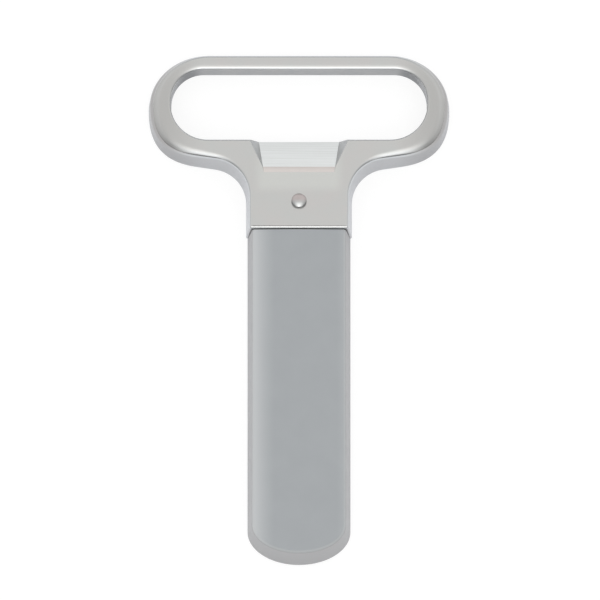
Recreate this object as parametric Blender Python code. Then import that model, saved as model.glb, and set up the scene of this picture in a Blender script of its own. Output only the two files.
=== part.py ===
"""Two-prong cork puller: a cast finger-loop handle with a cap lifter, two spring prongs and a sheath.

Units are metres. The tool lies on its back: +Z is the front face, +Y points towards the loop and +X
across it. The shapes are written about the collar's end, and one empty places them all.
"""
import math

import bmesh
import bpy
from mathutils import Vector

# Fits and cuts
SEAT_GAP = 0.0003
CUT_OVERRUN = 0.002
MERGE_DISTANCE = 0.000002

# Neck and shoulders, from the collar's end upwards
COLLAR_WIDTH = 0.0280
COLLAR_THICKNESS = 0.013
COLLAR_EDGE_FILLET = 0.0004
NECK_STRAIGHT = 0.00925
NECK_FILLET_RADIUS = 0.00965
SHOULDER_SLOPE = math.radians(8.5)

# Finger loop
LOOP_WIDTH = 0.0799
LOOP_TOP_THICKNESS = 0.008
TOP_BAR = 0.0041
SIDE_BAR = 0.0060
LOWER_BAR = 0.00605
TOP_CORNER_RUN = 0.0160
SHOULDER_STRAIGHT = 0.0050
TOP_CORNER_SHARE = 0.56
LOWER_CORNER_SHARE = 0.69

# Finger hole
HOLE_HEIGHT = 0.020
HOLE_LOWER_RADIUS = 0.010
HOLE_SIDE_STRAIGHT = 0.0013
HOLE_FRONT_FILLET = 0.0011

# Walls and edges of the casting and the sheath
WALL_DRAFT = math.radians(4.5)
FRONT_FILLET = 0.0008
BACK_FILLET = 0.0008
LOOP_ROUNDING_SHARE = 0.57
SHOULDER_ROUNDING_RISE = 1.2
TOP_ROUNDING_RISE = 1.6

# Cap lifter in the loop's lower bar
LIFTER_LENGTH = 0.0076
LIFTER_DEPTH = 0.0032
LIFTER_BACK_DEPTH = 0.0040
LIFTER_FOOT_WIDTH = 0.0190
LIFTER_LIP_WIDTH = 0.0212
LIFTER_WALL_LEAN = math.radians(38.5)
LIFTER_FOOT_ROUNDING = 0.0018
LIFTER_SKIM = 0.00002
LIP_HOLLOW = 0.00012

# Sheath
SHEATH_STEP = 0.0003
SHEATH_WALL = 0.0013
SHEATH_TIP_LENGTH = 0.0087
SHEATH_END_NARROWING = 0.00015
SHEATH_END_THINNING = 0.0007
SHEATH_CROWN = 0.0005
CORE_FILLET = 0.0004

# Prongs: spring strips with a hooked tang
LONG_PRONG_REACH = 0.0800
PRONG_STAGGER = 0.0070
PRONG_TIP_ROOM = 0.0075
PRONG_ROOM = 0.0011
PRONG_THICKNESS = 0.0009
PRONG_EDGE_THICKNESS = 0.0004
PRONG_TAPER = 0.0012
PRONG_ARCH = 0.0006
PRONG_ARCH_START = 0.010
PRONG_BOW = 0.0010
PRONG_TIP_LENGTH = 0.0055
PRONG_SHOULDER = 0.0005
SHOULDER_LENGTH = 0.0012
TANG_BEND_RADIUS = 0.0014
HOOK_GAP = 0.0012

# Socket, block and rivet in the neck
BLOCK_LENGTH = 0.0100
SOCKET_HEADROOM = 0.0007
RIVET_BELOW_BLOCK_TOP = 0.0028
RIVET_SHANK_RADIUS = 0.0015
RIVET_HEAD_RADIUS = 0.00198
RIVET_HEAD_RIM = 0.0003
RIVET_DOME = 0.0013
RIVET_TAIL_RADIUS = 0.0022
RIVET_TAIL_DEPTH = 0.0008

# Facets
LOOP_CORNER_STEPS = 18
NECK_FILLET_STEPS = 10
HOLE_CORNER_STEPS = 10
FILLET_STEPS = 6
LIP_STEPS = 12
FOOT_STEPS = 6
TIP_STEPS = 16
SIDE_STEPS = 4
CROWN_COLUMNS = 8
BEND_STEPS = 6
BLADE_STEPS = 24
BLADE_TIP_STEPS = 8
BLADE_COLUMNS = 4
DOME_STEPS = 7
RIVET_STEPS = 32

# Places worked out from the sizes above
SHOULDER_FOOT_Y = NECK_STRAIGHT + NECK_FILLET_RADIUS * math.cos(SHOULDER_SLOPE)
LIP_Y = SHOULDER_FOOT_Y + LOWER_BAR
HOLE_TOP_Y = LIP_Y + HOLE_HEIGHT
LOOP_SIDE_Y = LIP_Y + HOLE_HEIGHT / 2
HANDLE_REACH = HOLE_TOP_Y + TOP_BAR
SHEATH_REACH = LONG_PRONG_REACH + PRONG_TIP_ROOM
COLLAR_END_Y = (SHEATH_REACH - HANDLE_REACH) / 2
SHEATH_BACK = SHEATH_STEP
SHEATH_MOUTH_FRONT = COLLAR_THICKNESS - SHEATH_STEP
SHEATH_HALF_WIDTH = COLLAR_WIDTH / 2 - SHEATH_STEP
SHEATH_DRAFT = math.tan(WALL_DRAFT) * (SHEATH_MOUTH_FRONT - SHEATH_BACK)
CAVITY_HEIGHT = SHEATH_MOUTH_FRONT - SHEATH_CROWN - SHEATH_BACK - 2 * SHEATH_WALL
PRONG_WIDTH = CAVITY_HEIGHT - 2 * PRONG_ROOM
PRONG_HEIGHT = SHEATH_BACK + SHEATH_WALL + CAVITY_HEIGHT / 2
CAVITY_HALF_WIDTH = SHEATH_HALF_WIDTH - SHEATH_WALL - SHEATH_DRAFT / 2
TANG_X = CAVITY_HALF_WIDTH - PRONG_ROOM - PRONG_BOW - PRONG_THICKNESS / 2
TANG_WIDTH = PRONG_WIDTH - 2 * PRONG_SHOULDER
BLOCK_TOP = SEAT_GAP + BLOCK_LENGTH
HOOK_Y = BLOCK_TOP + SEAT_GAP + PRONG_THICKNESS / 2
SOCKET_ROOF = HOOK_Y + PRONG_THICKNESS / 2 + SOCKET_HEADROOM
PIVOT_Y = HOOK_Y / 2
RIVET_Y = BLOCK_TOP - RIVET_BELOW_BLOCK_TOP


def clear_scene():
    """Empty the file of the objects it opened with."""
    for item in list(bpy.data.objects):
        bpy.data.objects.remove(item, do_unlink=True)


def make_material(name, colour, roughness, metallic):
    """A Principled material."""
    material = bpy.data.materials.new(name)
    material.use_nodes = True
    shader = material.node_tree.nodes["Principled BSDF"]
    shader.inputs["Base Color"].default_value = (*colour, 1.0)
    shader.inputs["Roughness"].default_value = roughness
    shader.inputs["Metallic"].default_value = metallic
    return material


def add_object(name, bm, frame, material=None, smooth_angle=30.0):
    """Turn a bmesh into an object under the frame, with its faces pointing out."""
    bmesh.ops.remove_doubles(bm, verts=bm.verts, dist=MERGE_DISTANCE)
    bmesh.ops.recalc_face_normals(bm, faces=bm.faces)
    mesh = bpy.data.meshes.new(name)
    bm.to_mesh(mesh)
    bm.free()
    mesh.shade_smooth()
    mesh.set_sharp_from_angle(angle=math.radians(smooth_angle))
    if material:
        mesh.materials.append(material)
    item = bpy.data.objects.new(name, mesh)
    item.parent = frame
    bpy.context.collection.objects.link(item)
    return item


def add_cutter(name, bm, frame):
    """A solid that only cuts: it is drawn as wire and never rendered."""
    item = add_object(name, bm, frame)
    item.display_type = "WIRE"
    item.hide_render = True
    return item


def cut(item, cutter):
    """Take the cutter's volume out of the item."""
    modifier = item.modifiers.new(cutter.name, "BOOLEAN")
    modifier.operation = "DIFFERENCE"
    modifier.solver = "EXACT"
    modifier.object = cutter


def add_ring(bm, points):
    """Vertices for one closed ring."""
    return [bm.verts.new(point) for point in points]


def skin_rings(bm, rings):
    """Quads between each ring and the next."""
    for lower, upper in zip(rings, rings[1:]):
        count = len(lower)
        for index in range(count):
            after = (index + 1) % count
            bm.faces.new((lower[index], lower[after], upper[after], upper[index]))


def ring_edges(bm, ring):
    """The edges that join a ring's vertices in order."""
    count = len(ring)
    return [bm.edges.get((ring[index], ring[(index + 1) % count])) for index in range(count)]


def fillet_steps(radius):
    """Inset and drop of a quarter-round edge, from the wall's end to the flat's."""
    steps = []
    for step in range(FILLET_STEPS + 1):
        angle = math.pi / 2 * step / FILLET_STEPS
        steps.append((radius * (1 - math.cos(angle)), radius * (1 - math.sin(angle))))
    return steps


def front_height(y):
    """Height of the handle's front face, which falls evenly from the collar to the loop's top."""
    return COLLAR_THICKNESS - (COLLAR_THICKNESS - LOOP_TOP_THICKNESS) * y / HANDLE_REACH


def arc_stations(centre, radius, start, end, steps, side):
    """Points round an arc with the way out of the metal, which is the way out of the arc where side is 1."""
    stations = []
    for step in range(steps + 1):
        angle = start + (end - start) * step / steps
        direction = Vector((math.cos(angle), math.sin(angle)))
        stations.append((centre + direction * radius, direction * side))
    return stations


def corner_stations(start, corner, end, share):
    """Points round a corner that swings from one line to the next, with the way out of the metal.

    The corner's pull on the curve is a share of the way from each end to where the lines would meet.
    """
    leaving = start.lerp(corner, share)
    arriving = end.lerp(corner, share)
    stations = []
    for step in range(LOOP_CORNER_STEPS + 1):
        run = step / LOOP_CORNER_STEPS
        rest = 1 - run
        spot = start * rest ** 3 + leaving * (3 * rest ** 2 * run)
        spot += arriving * (3 * rest * run ** 2) + end * run ** 3
        along = (leaving - start) * rest ** 2 + (arriving - leaving) * (2 * rest * run)
        along += (end - arriving) * run ** 2
        stations.append((spot, Vector((-along.y, along.x)).normalized()))
    return stations


def outline_stations():
    """Right half of the handle's outline at its back, from the loop's top round to the neck.

    The loop is widest level with the middle of its hole. One corner runs from there up to the top bar and
    one down to the sloping shoulder, which meets the neck in a hollow fillet.
    """
    outward = Vector((math.sin(SHOULDER_SLOPE), -math.cos(SHOULDER_SLOPE)))
    neck_centre = Vector((COLLAR_WIDTH / 2 + NECK_FILLET_RADIUS, NECK_STRAIGHT))
    foot = neck_centre - outward * NECK_FILLET_RADIUS
    rise = Vector((1.0, math.tan(SHOULDER_SLOPE)))
    half_width = LOOP_WIDTH / 2
    top_end = Vector((half_width - TOP_CORNER_RUN, HANDLE_REACH))
    top_corner = Vector((half_width, HANDLE_REACH))
    side = Vector((half_width, LOOP_SIDE_Y))
    lower_corner = foot + rise * (half_width - foot.x)
    shoulder_end = foot + rise * SHOULDER_STRAIGHT
    stations = corner_stations(top_end, top_corner, side, TOP_CORNER_SHARE)
    stations += corner_stations(side, lower_corner, shoulder_end, LOWER_CORNER_SHARE)[1:]
    stations += arc_stations(
        neck_centre, NECK_FILLET_RADIUS, SHOULDER_SLOPE + math.pi / 2, math.pi, NECK_FILLET_STEPS, -1)
    return stations


def collar_corner(inset, end_rise):
    """Rounded lower corner of the collar, which keeps its own small radius at every inset."""
    points = []
    for inward, drop in fillet_steps(COLLAR_EDGE_FILLET):
        points.append(Vector((COLLAR_WIDTH / 2 - inset - inward, end_rise + drop)))
    return points


def mirror_half(points):
    """Right half of a ring and its mirror image, in one order round the ring."""
    mirrored = []
    for point in reversed(points):
        image = point.copy()
        image.x = -point.x
        mirrored.append(image)
    return points + mirrored


def rim_growth(spot):
    """How many times fuller the front rim's rounding is at a place than on the neck.

    The rounding is even on the neck, the collar and the top bar, and swells towards the loop's two ends.
    """
    half_width = LOOP_WIDTH / 2
    below = spot.y < LOOP_SIDE_Y
    start = COLLAR_WIDTH / 2 if below else half_width - TOP_CORNER_RUN
    rise = SHOULDER_ROUNDING_RISE if below else TOP_ROUNDING_RISE
    run = min(max((spot.x - start) / (half_width - start), 0.0), 1.0)
    return 1 + (LOOP_ROUNDING_SHARE * SIDE_BAR / FRONT_FILLET - 1) * run ** rise


def back_ring(inset, drop):
    """One ring of the rounding between the handle's back and its wall."""
    half = [spot - outward * inset for spot, outward in outline_stations()]
    half += collar_corner(inset, COLLAR_EDGE_FILLET * inset / BACK_FILLET)
    return mirror_half([Vector((place.x, place.y, drop)) for place in half])


def front_ring(inset, drop):
    """One ring of the rounding between the wall and the front; the draft grows with the thickness."""
    half = []
    for spot, outward in outline_stations():
        growth = rim_growth(spot)
        draft = math.tan(WALL_DRAFT) * front_height(spot.y)
        place = spot - outward * (inset * growth + draft)
        half.append(Vector((place.x, place.y, front_height(place.y) - drop * growth)))
    collar_draft = math.tan(WALL_DRAFT) * COLLAR_THICKNESS
    for place in collar_corner(inset + collar_draft, COLLAR_EDGE_FILLET * inset / FRONT_FILLET):
        half.append(Vector((place.x, place.y, front_height(place.y) - drop)))
    return mirror_half(half)


def handle_wall_rings(bm):
    """Rings up the handle's outer wall: back fillet, drafted wall, front fillet."""
    rings = []
    for inset, drop in reversed(fillet_steps(BACK_FILLET)):
        rings.append(add_ring(bm, back_ring(inset, drop)))
    for inset, drop in fillet_steps(FRONT_FILLET):
        rings.append(add_ring(bm, front_ring(inset, drop)))
    return rings


def hole_ring(inset):
    """Outline of the finger hole, a slot with round ends; a positive inset widens it."""
    side = LOOP_WIDTH / 2 - SIDE_BAR
    upper_radius = HOLE_HEIGHT - HOLE_SIDE_STRAIGHT - HOLE_LOWER_RADIUS
    upper = Vector((side - upper_radius, HOLE_TOP_Y - upper_radius))
    lower = Vector((side - HOLE_LOWER_RADIUS, LIP_Y + HOLE_LOWER_RADIUS))
    stations = arc_stations(upper, upper_radius, math.pi / 2, 0.0, HOLE_CORNER_STEPS, -1)
    stations += arc_stations(lower, HOLE_LOWER_RADIUS, 0.0, -math.pi / 2, HOLE_CORNER_STEPS, -1)
    return mirror_half([spot - outward * inset for spot, outward in stations])


def hole_wall_rings(bm):
    """Rings up the finger hole's wall, with both lips rounded."""
    rings = []
    for inset, drop in reversed(fillet_steps(BACK_FILLET)):
        rings.append(add_ring(bm, [(point.x, point.y, drop) for point in hole_ring(inset)]))
    for inset, drop in fillet_steps(HOLE_FRONT_FILLET):
        points = hole_ring(inset)
        rings.append(add_ring(bm, [(point.x, point.y, front_height(point.y) - drop) for point in points]))
    return rings


def back_height(_y):
    """Height of the handle's flat back."""
    return 0.0


def lifter_sections(depth):
    """Distances up the ramp and the depth there: it eases out of the face, then falls evenly."""
    sections = []
    for step in range(FOOT_STEPS + 1):
        run = LIFTER_FOOT_ROUNDING * (2 * step / FOOT_STEPS - 1)
        eased = (run + LIFTER_FOOT_ROUNDING) ** 2 / (4 * LIFTER_FOOT_ROUNDING)
        sections.append((run, depth * eased / LIFTER_LENGTH - LIFTER_SKIM))
    run = LIFTER_LENGTH + CUT_OVERRUN
    sections.append((run, depth * run / LIFTER_LENGTH - LIFTER_SKIM))
    return sections


def lifter_cutter(name, depth, surface, outward, frame):
    """A wedge that is deepest at the loop's lip and runs out at its foot, with leaning side walls."""
    bm = bmesh.new()
    rings = []
    for run, floor_depth in lifter_sections(depth):
        y = LIP_Y - LIFTER_LENGTH + run
        share = run / LIFTER_LENGTH
        floor_half = (LIFTER_FOOT_WIDTH + (LIFTER_LIP_WIDTH - LIFTER_FOOT_WIDTH) * share) / 2
        mouth_half = floor_half + (floor_depth + CUT_OVERRUN) * math.tan(LIFTER_WALL_LEAN)
        floor_z = surface(y) - outward * floor_depth
        mouth_z = surface(y) + outward * CUT_OVERRUN
        right = [(floor_half, floor_z), (mouth_half, mouth_z)]
        corners = right + [(-x, z) for x, z in reversed(right)]
        rings.append(add_ring(bm, [(x, y, z) for x, z in corners]))
    skin_rings(bm, rings)
    for ring in (rings[0], rings[-1]):
        bm.faces.new(ring)
    return add_cutter(name, bm, frame)


def lip_cutter(frame):
    """A shallow hollow across the lip, so that it follows a cap's round edge."""
    bm = bmesh.new()
    half = LIFTER_LIP_WIDTH / 2
    radius = (half ** 2 + LIP_HOLLOW ** 2) / (2 * LIP_HOLLOW)
    sweep = math.asin(half / radius)
    top = LIP_Y + CUT_OVERRUN
    points = [(-half, top), (half, top)]
    for step in range(LIP_STEPS + 1):
        angle = sweep - 2 * sweep * step / LIP_STEPS
        points.append((radius * math.sin(angle), LIP_Y - LIP_HOLLOW + radius * (1 - math.cos(angle))))
    rings = []
    for z in (LIFTER_BACK_DEPTH - CUT_OVERRUN, front_height(LIP_Y) - LIFTER_DEPTH + CUT_OVERRUN):
        rings.append(add_ring(bm, [(x, y, z) for x, y in points]))
    skin_rings(bm, rings)
    for ring in rings:
        bm.faces.new(ring)
    return add_cutter("lip_cutter", bm, frame)


def box_mesh(low, high):
    """A closed box between two corners."""
    bm = bmesh.new()
    rings = []
    for z in (low[2], high[2]):
        corners = ((low[0], low[1], z), (high[0], low[1], z), (high[0], high[1], z), (low[0], high[1], z))
        rings.append(add_ring(bm, corners))
    skin_rings(bm, rings)
    for ring in rings:
        bm.faces.new(ring)
    return bm


def socket_cutter(frame):
    """The socket up the neck for both tangs and the block between them."""
    half_width = TANG_X + PRONG_THICKNESS / 2 + SEAT_GAP
    half_height = TANG_WIDTH / 2 + SEAT_GAP
    low = (-half_width, -CUT_OVERRUN, PRONG_HEIGHT - half_height)
    high = (half_width, SOCKET_ROOF, PRONG_HEIGHT + half_height)
    return add_cutter("socket_cutter", box_mesh(low, high), frame)


def turned_mesh(profile):
    """A closed solid turned about Z from radius and height pairs that start and end on the axis."""
    bm = bmesh.new()
    verts = [bm.verts.new((radius, 0.0, height)) for radius, height in profile]
    edges = [bm.edges.new(pair) for pair in zip(verts, verts[1:])]
    bmesh.ops.spin(
        bm, geom=verts + edges, cent=(0.0, 0.0, 0.0), axis=(0.0, 0.0, 1.0),
        angle=2 * math.pi, steps=RIVET_STEPS, use_merge=True)
    bmesh.ops.remove_doubles(bm, verts=bm.verts, dist=MERGE_DISTANCE)
    return bm


def rivet_levels():
    """Heights of the rivet: dome top, head rim, head seat, tail neck and tail end."""
    face = front_height(RIVET_Y)
    slope_drop = face - front_height(RIVET_Y + RIVET_HEAD_RADIUS)
    return {
        "dome": face + RIVET_DOME,
        "rim": face,
        "seat": face - slope_drop - RIVET_HEAD_RIM,
        "tail_neck": SEAT_GAP + RIVET_TAIL_DEPTH,
        "tail": SEAT_GAP,
    }


def rivet_dome(levels):
    """Arc of the head's dome, from the axis out to the rim."""
    radius = (RIVET_HEAD_RADIUS ** 2 + RIVET_DOME ** 2) / (2 * RIVET_DOME)
    sweep = math.asin(RIVET_HEAD_RADIUS / radius)
    points = []
    for step in range(DOME_STEPS + 1):
        angle = sweep * step / DOME_STEPS
        points.append((radius * math.sin(angle), levels["dome"] - radius * (1 - math.cos(angle))))
    return points


def rivet_object(frame, material):
    """Domed rivet through the neck, its tail set flush in the back."""
    levels = rivet_levels()
    profile = rivet_dome(levels)
    profile.append((RIVET_HEAD_RADIUS, levels["seat"]))
    profile.append((RIVET_SHANK_RADIUS, levels["seat"]))
    profile.append((RIVET_SHANK_RADIUS, levels["tail_neck"]))
    profile.append((RIVET_TAIL_RADIUS, levels["tail"]))
    profile.append((0.0, levels["tail"]))
    item = add_object("rivet", turned_mesh(profile), frame, material)
    item.location.y = RIVET_Y
    return item


def rivet_bore_cutter(frame):
    """Bore for the rivet, with a seat for its head and a countersink for its tail."""
    levels = rivet_levels()
    head = RIVET_HEAD_RADIUS + SEAT_GAP
    shank = RIVET_SHANK_RADIUS + SEAT_GAP
    tail = RIVET_TAIL_RADIUS + SEAT_GAP
    flare = (RIVET_TAIL_RADIUS - RIVET_SHANK_RADIUS) / RIVET_TAIL_DEPTH
    profile = [
        (0.0, COLLAR_THICKNESS + CUT_OVERRUN),
        (head, COLLAR_THICKNESS + CUT_OVERRUN),
        (head, levels["seat"] - SEAT_GAP),
        (shank, levels["seat"] - SEAT_GAP),
        (shank, levels["tail_neck"] + SEAT_GAP),
        (tail + CUT_OVERRUN * flare, -CUT_OVERRUN),
        (0.0, -CUT_OVERRUN),
    ]
    item = add_cutter("rivet_bore_cutter", turned_mesh(profile), frame)
    item.location.y = RIVET_Y
    return item


def handle_object(frame, material, rivet_bore):
    """The one-piece casting: loop, shoulders, neck and collar."""
    bm = bmesh.new()
    wall = handle_wall_rings(bm)
    hole = hole_wall_rings(bm)
    skin_rings(bm, wall)
    skin_rings(bm, hole)
    for level in (0, -1):
        edges = ring_edges(bm, wall[level]) + ring_edges(bm, hole[level])
        bmesh.ops.triangle_fill(bm, edges=edges, use_beauty=True)
    item = add_object("handle", bm, frame, material)
    cut(item, lifter_cutter("lifter_front_cutter", LIFTER_DEPTH, front_height, 1, frame))
    cut(item, lifter_cutter("lifter_back_cutter", LIFTER_BACK_DEPTH, back_height, -1, frame))
    cut(item, lip_cutter(frame))
    cut(item, socket_cutter(frame))
    cut(item, rivet_bore)
    return item


def block_object(frame, material, rivet_bore):
    """Block that fills the socket between the tangs and holds their hooks up."""
    half_width = TANG_X - PRONG_THICKNESS / 2 - SEAT_GAP
    low = (-half_width, SEAT_GAP, PRONG_HEIGHT - TANG_WIDTH / 2)
    high = (half_width, BLOCK_TOP, PRONG_HEIGHT + TANG_WIDTH / 2)
    item = add_object("prong_block", box_mesh(low, high), frame, material)
    cut(item, rivet_bore)
    return item


def smooth_share(share):
    """Ease from 0 to 1 with level ends."""
    share = min(max(share, 0.0), 1.0)
    return share * share * (3 - 2 * share)


def hook_stations():
    """Centre line of the tang from the hook's inner end round its bend, with directions along it."""
    bend_x = TANG_X - TANG_BEND_RADIUS
    bend_y = HOOK_Y - TANG_BEND_RADIUS
    stations = [(Vector((HOOK_GAP / 2, HOOK_Y)), Vector((0.0, 1.0)))]
    for step in range(BEND_STEPS + 1):
        angle = math.pi / 2 * (1 - step / BEND_STEPS)
        outward = Vector((math.cos(angle), math.sin(angle)))
        stations.append((Vector((bend_x, bend_y)) + outward * TANG_BEND_RADIUS, outward))
    return stations


def blade_point(depth, reach):
    """Centre line of the blade below the collar: it bows out towards its middle and back in."""
    turn = 2 * math.pi * depth / reach
    slope = PRONG_BOW * math.pi * math.sin(turn) / reach
    point = Vector((TANG_X + PRONG_BOW * (1 - math.cos(turn)) / 2, -depth))
    return point, Vector((1.0, slope)).normalized()


def blade_half_width(depth, reach):
    """Half the blade's width: tang, shoulder, long taper and rounded tip."""
    shoulder = smooth_share((depth - SEAT_GAP) / SHOULDER_LENGTH)
    taper = PRONG_WIDTH - PRONG_TAPER * depth / reach
    width = TANG_WIDTH + (taper - TANG_WIDTH) * shoulder
    tip_share = max(0.0, (depth - reach + PRONG_TIP_LENGTH) / PRONG_TIP_LENGTH)
    return width / 2 * math.sqrt(max(0.0, 1 - tip_share ** 2))


def blade_depths(reach):
    """Distances down the blade at which it gets a section, close together at the shoulder and tip."""
    depths = [SEAT_GAP + SHOULDER_LENGTH * step / FILLET_STEPS for step in range(FILLET_STEPS + 1)]
    start = depths[-1]
    tip_start = reach - PRONG_TIP_LENGTH
    depths += [start + (tip_start - start) * step / BLADE_STEPS for step in range(1, BLADE_STEPS + 1)]
    for step in range(1, BLADE_TIP_STEPS + 1):
        angle = math.pi / 2 * step / (BLADE_TIP_STEPS + 1)
        depths.append(tip_start + PRONG_TIP_LENGTH * math.sin(angle))
    return depths


def prong_sections(reach):
    """Each section of a prong: its centre, the way out, half its width, its arch and its thickness."""
    sections = []
    for point, outward in hook_stations():
        sections.append((point, outward, TANG_WIDTH / 2, 0.0, PRONG_THICKNESS))
    for depth in blade_depths(reach):
        point, outward = blade_point(depth, reach)
        arch = PRONG_ARCH * smooth_share((depth - SEAT_GAP) / PRONG_ARCH_START)
        edge = smooth_share((depth - reach + PRONG_TIP_LENGTH) / PRONG_TIP_LENGTH)
        thickness = PRONG_THICKNESS + (PRONG_EDGE_THICKNESS - PRONG_THICKNESS) * edge
        half_width = blade_half_width(depth, reach)
        sections.append((point, outward, half_width, arch, thickness))
    return sections


def section_points(section, pivot, side):
    """Ring of points round one section, outer face first and then back along the inner face."""
    point, outward, half_width, arch, thickness = section
    rows = ([], [])
    for column in range(BLADE_COLUMNS + 1):
        share = 2 * column / BLADE_COLUMNS - 1
        sag = arch * (half_width * share / (PRONG_WIDTH / 2)) ** 2
        for row, face in zip(rows, (1, -1)):
            spot = point + outward * (face * thickness / 2 - sag)
            row.append((side * spot.x - pivot.x, spot.y - pivot.y, half_width * share))
    return rows[0] + rows[1][::-1]


def prong_object(name, side, reach, frame, material):
    """One spring prong, with its origin on the line it springs about."""
    pivot = Vector((side * TANG_X, PIVOT_Y, PRONG_HEIGHT))
    bm = bmesh.new()
    rings = [add_ring(bm, section_points(section, pivot, side)) for section in prong_sections(reach)]
    skin_rings(bm, rings)
    for ring in (rings[0], rings[-1]):
        bm.faces.new(ring)
    item = add_object(name, bm, frame, material)
    item.location = pivot
    return item


def sheath_half_width(y):
    """Half the sheath's width at its back, a little narrower towards the tip."""
    return SHEATH_HALF_WIDTH - SHEATH_END_NARROWING * -y / SHEATH_REACH


def sheath_front(x, y):
    """Height of the sheath's front: it thins towards the tip and is crowned across."""
    crown = SHEATH_CROWN * (1 - (x / SHEATH_HALF_WIDTH) ** 2)
    return SHEATH_MOUTH_FRONT - SHEATH_CROWN - SHEATH_END_THINNING * -y / SHEATH_REACH + crown


def sheath_half_outline(inset, mouth_y):
    """Right half of the sheath's outline, from the mouth down the side and round the elliptic tip."""
    tip_y = -(SHEATH_REACH - SHEATH_TIP_LENGTH)
    points = []
    for step in range(SIDE_STEPS + 1):
        y = mouth_y + (tip_y - mouth_y) * step / SIDE_STEPS
        points.append(Vector((sheath_half_width(y) - inset, y)))
    across = sheath_half_width(tip_y)
    for step in range(1, TIP_STEPS):
        angle = math.pi / 2 * step / TIP_STEPS
        spot = Vector((across * math.cos(angle), tip_y - SHEATH_TIP_LENGTH * math.sin(angle)))
        outward = Vector((SHEATH_TIP_LENGTH * math.cos(angle), -across * math.sin(angle))).normalized()
        points.append(spot - outward * inset)
    points.append(Vector((0.0, inset - SHEATH_REACH)))
    return points


def full_outline(half):
    """Both sides of an outline whose last point lies on the middle line."""
    return half + [Vector((-point.x, point.y)) for point in reversed(half[:-1])]


def sheath_body_mesh(wall, fillet, mouth_y):
    """The sheath's outside, or with a wall the hollow inside it, as one closed solid."""
    bm = bmesh.new()
    rings = []
    for inset, drop in reversed(fillet_steps(fillet)):
        outline = full_outline(sheath_half_outline(wall + inset, mouth_y))
        rings.append(add_ring(bm, [(spot.x, spot.y, SHEATH_BACK + wall + drop) for spot in outline]))
    for inset, drop in fillet_steps(fillet):
        outline = full_outline(sheath_half_outline(wall + SHEATH_DRAFT + inset, mouth_y))
        fronts = [sheath_front(spot.x, spot.y) - wall - drop for spot in outline]
        rings.append(add_ring(bm, [(spot.x, spot.y, front) for spot, front in zip(outline, fronts)]))
    skin_rings(bm, rings)
    bm.faces.new(rings[0])
    crown_rows(bm, rings[-1], wall)
    return bm


def crown_rows(bm, ring, wall):
    """Close the crowned front with rows from side to side, ending in a fan at the tip."""
    half_count = len(ring) // 2
    rows = []
    for index in range(half_count):
        right = ring[index]
        left = ring[len(ring) - 1 - index]
        row = [right]
        for column in range(1, CROWN_COLUMNS):
            x = right.co.x + (left.co.x - right.co.x) * column / CROWN_COLUMNS
            row.append(bm.verts.new((x, right.co.y, sheath_front(x, right.co.y) - wall)))
        rows.append(row + [left])
    for upper, lower in zip(rows, rows[1:]):
        for column in range(CROWN_COLUMNS):
            bm.faces.new((upper[column], upper[column + 1], lower[column + 1], lower[column]))
    tip = ring[half_count]
    for column in range(CROWN_COLUMNS):
        bm.faces.new((rows[-1][column], rows[-1][column + 1], tip))
    bm.faces.new(rows[0])


def sheath_object(frame, material):
    """Moulded cover, hollowed by its core from the mouth."""
    item = add_object("sheath", sheath_body_mesh(0.0, FRONT_FILLET, -SEAT_GAP), frame, material)
    core = sheath_body_mesh(SHEATH_WALL, CORE_FILLET, CUT_OVERRUN)
    cut(item, add_cutter("sheath_core", core, frame))
    return item


def build():
    """Lay out the whole tool about one empty, with the middle of its length at the origin."""
    clear_scene()
    nickel = make_material("satin_nickel", (0.60, 0.60, 0.58), 0.34, 1.0)
    rivet_steel = make_material("rivet_nickel", (0.62, 0.62, 0.60), 0.28, 1.0)
    block_zinc = make_material("block_zinc", (0.45, 0.46, 0.47), 0.5, 1.0)
    spring_steel = make_material("spring_steel", (0.66, 0.67, 0.68), 0.22, 1.0)
    grey_plastic = make_material("grey_plastic", (0.37, 0.39, 0.41), 0.38, 0.0)
    frame = bpy.data.objects.new("cork_puller", None)
    frame.location.y = COLLAR_END_Y
    bpy.context.collection.objects.link(frame)
    rivet_bore = rivet_bore_cutter(frame)
    handle_object(frame, nickel, rivet_bore)
    block_object(frame, block_zinc, rivet_bore)
    rivet_object(frame, rivet_steel)
    prong_object("long_prong", 1, LONG_PRONG_REACH, frame, spring_steel)
    prong_object("short_prong", -1, LONG_PRONG_REACH - PRONG_STAGGER, frame, spring_steel)
    sheath_object(frame, grey_plastic)


build()
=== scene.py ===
"""A two-prong cork puller on white paper: plated finger-loop handle, rivet, prongs and sheath."""
import math

import bmesh
import bpy
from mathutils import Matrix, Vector
from mathutils.kdtree import KDTree


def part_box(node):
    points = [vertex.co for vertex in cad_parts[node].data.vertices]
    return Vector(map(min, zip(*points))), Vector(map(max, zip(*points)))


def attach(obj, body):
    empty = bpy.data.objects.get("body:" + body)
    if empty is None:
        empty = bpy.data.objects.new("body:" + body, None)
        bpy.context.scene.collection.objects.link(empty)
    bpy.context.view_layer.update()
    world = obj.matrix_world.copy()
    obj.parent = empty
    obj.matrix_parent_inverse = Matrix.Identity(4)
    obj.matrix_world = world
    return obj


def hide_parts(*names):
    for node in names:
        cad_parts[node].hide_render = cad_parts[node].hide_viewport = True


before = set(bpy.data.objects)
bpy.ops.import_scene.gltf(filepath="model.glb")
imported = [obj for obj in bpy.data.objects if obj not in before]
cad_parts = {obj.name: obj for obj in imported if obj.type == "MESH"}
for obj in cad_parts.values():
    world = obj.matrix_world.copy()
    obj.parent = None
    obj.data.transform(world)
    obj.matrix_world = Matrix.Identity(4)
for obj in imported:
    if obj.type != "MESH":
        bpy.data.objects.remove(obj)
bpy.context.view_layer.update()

# Places taken from the frame
HANDLE_LOW, HANDLE_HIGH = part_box("handle")
SHEATH_LOW, SHEATH_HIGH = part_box("sheath")
RIVET_LOW, RIVET_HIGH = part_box("rivet")
BLOCK_LOW, BLOCK_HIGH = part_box("prong_block")
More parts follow.
